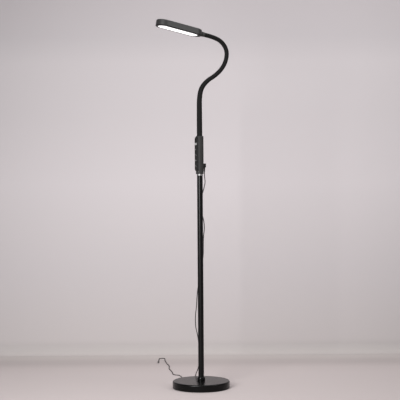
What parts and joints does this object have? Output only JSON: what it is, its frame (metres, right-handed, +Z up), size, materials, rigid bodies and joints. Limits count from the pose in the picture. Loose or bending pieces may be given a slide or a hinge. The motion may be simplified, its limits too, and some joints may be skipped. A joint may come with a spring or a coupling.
{
  "type": "gooseneck floor lamp",
  "caption": "Slim black reading floor lamp: round base, thin pole with a key panel, bending gooseneck and a flat rounded LED head.",
  "frame": {"origin": "on the floor, at the middle of the base, where the pole's axis meets it", "axes": "+Z up along the pole; the keys and the head face -X; the plug leaves the back towards +X"},
  "size_m": [0.4566, 0.8663, 1.4681],
  "materials": {
    "black_steel": "satin",
    "iron": "matte",
    "pad_foam": "matte",
    "steel": "satin",
    "bright_ring": "polished",
    "black_plastic": "satin",
    "key_grey": "satin",
    "key_silver": "satin",
    "opal_plastic": "satin",
    "white_plastic": "matte",
    "circuit_board": "satin",
    "led_yellow": "satin",
    "neck_silicone": "matte",
    "cord_rubber": "satin"
  },
  "bodies": {
    "stand": {"base_cover": "black_steel", "base_pad": "pad_foam", "base_weight": "iron", "base_bolt": "steel", "base_washer": "steel", "pole_lower": "black_steel", "pole_middle": "black_steel", "pole_upper": "black_steel", "pole_foot": "steel", "pole_couplers": "steel", "pole_collar": "black_steel", "trim_ring": "bright_ring", "front_shell": "black_plastic", "back_shell": "black_plastic", "key_panel": "black_plastic", "key_switches": "black_plastic", "control_board": "circuit_board", "set_screw": "steel", "shell_screws": "steel", "power_inlet": "black_plastic", "plug_barrel": "steel", "plug_body": "cord_rubber", "neck_bush": "steel", "neck_stub": "neck_silicone", "power_cord": "cord_rubber", "end_plug": "cord_rubber", "end_barrel": "steel"},
    "timer_key": {"key_timer": "key_grey"},
    "colour_key": {"key_colour": "key_grey"},
    "dimmer_key": {"key_dimmer": "key_grey"},
    "brighter_key": {"key_brighter": "key_grey"},
    "power_key": {"key_power": "key_silver"},
    "neck_01": {"neck_link_01": "neck_silicone"},
    "neck_02": {"neck_link_02": "neck_silicone"},
    "neck_03": {"neck_link_03": "neck_silicone"},
    "neck_04": {"neck_link_04": "neck_silicone"},
    "neck_05": {"neck_link_05": "neck_silicone"},
    "neck_06": {"neck_link_06": "neck_silicone"},
    "neck_07": {"neck_link_07": "neck_silicone"},
    "neck_08": {"neck_link_08": "neck_silicone"},
    "neck_09": {"neck_link_09": "neck_silicone"},
    "neck_10": {"neck_link_10": "neck_silicone"},
    "neck_11": {"neck_link_11": "neck_silicone"},
    "head": {"neck_link_12": "neck_silicone", "head_shell": "black_plastic", "head_bezel": "black_plastic", "diffuser": "opal_plastic", "reflector_tray": "white_plastic", "led_board": "white_plastic", "led_chips": "led_yellow", "board_screws": "steel", "neck_ferrule": "steel", "neck_nut": "steel"}
  },
  "joints": [
    {"name": "press_timer_key", "type": "slide", "parent": "stand", "child": "timer_key", "axis": [1, 0, 0], "range_m": [0, 0.0006], "stiffness_N_per_m": 1500, "springref_m": -0.0008},
    {"name": "press_colour_key", "type": "slide", "parent": "stand", "child": "colour_key", "axis": [1, 0, 0], "range_m": [0, 0.0006], "stiffness_N_per_m": 1500, "springref_m": -0.0008},
    {"name": "press_dimmer_key", "type": "slide", "parent": "stand", "child": "dimmer_key", "axis": [1, 0, 0], "range_m": [0, 0.0006], "stiffness_N_per_m": 1500, "springref_m": -0.0008},
    {"name": "press_brighter_key", "type": "slide", "parent": "stand", "child": "brighter_key", "axis": [1, 0, 0], "range_m": [0, 0.0006], "stiffness_N_per_m": 1500, "springref_m": -0.0008},
    {"name": "press_power_key", "type": "slide", "parent": "stand", "child": "power_key", "axis": [1, 0, 0], "range_m": [0, 0.0006], "stiffness_N_per_m": 1500, "springref_m": -0.0008},
    {"name": "neck_bend_01", "type": "hinge", "parent": "stand", "child": "neck_01", "pos_m": [0, 0, 1.055], "axis": [0, -1, 0], "range_deg": [-20, 20]},
    {"name": "neck_swing_02", "type": "hinge", "parent": "neck_01", "child": "neck_02", "pos_m": [0, 0, 1.097], "axis": [1, 0, 0], "range_deg": [-25, 25]},
    {"name": "neck_bend_03", "type": "hinge", "parent": "neck_02", "child": "neck_03", "pos_m": [0, 0, 1.139], "axis": [0, -1, 0], "range_deg": [-15, 20]},
    {"name": "neck_bend_04", "type": "hinge", "parent": "neck_03", "child": "neck_04", "pos_m": [0.00366, 0, 1.18079], "axis": [0, -1, 0], "range_deg": [-10, 30]},
    {"name": "neck_bend_05", "type": "hinge", "parent": "neck_04", "child": "neck_05", "pos_m": [0.02183, 0, 1.21805], "axis": [0, -1, 0], "range_deg": [-10, 26]},
    {"name": "neck_swing_06", "type": "hinge", "parent": "neck_05", "child": "neck_06", "pos_m": [0.05455, 0, 1.24407], "axis": [0.4848, 0, -0.8746], "range_deg": [-25, 25]},
    {"name": "neck_bend_07", "type": "hinge", "parent": "neck_06", "child": "neck_07", "pos_m": [0.08932, 0, 1.26753], "axis": [0, -1, 0], "range_deg": [-26, 15]},
    {"name": "neck_bend_08", "type": "hinge", "parent": "neck_07", "child": "neck_08", "pos_m": [0.11731, 0, 1.29861], "axis": [0, -1, 0], "range_deg": [-32, 10]},
    {"name": "neck_bend_09", "type": "hinge", "parent": "neck_08", "child": "neck_09", "pos_m": [0.1319, 0, 1.33764], "axis": [0, -1, 0], "range_deg": [-40, 5]},
    {"name": "neck_bend_10", "type": "hinge", "parent": "neck_09", "child": "neck_10", "pos_m": [0.12199, 0, 1.3774], "axis": [0, -1, 0], "range_deg": [-40, 5]},
    {"name": "neck_bend_11", "type": "hinge", "parent": "neck_10", "child": "neck_11", "pos_m": [0.08913, 0, 1.40262], "axis": [0, -1, 0], "range_deg": [-30, 15]},
    {"name": "neck_swing_12", "type": "hinge", "parent": "neck_11", "child": "head", "pos_m": [0.04872, 0, 1.41382], "axis": [0.1736, 0, 0.9848], "range_deg": [-25, 25]}
  ]
}
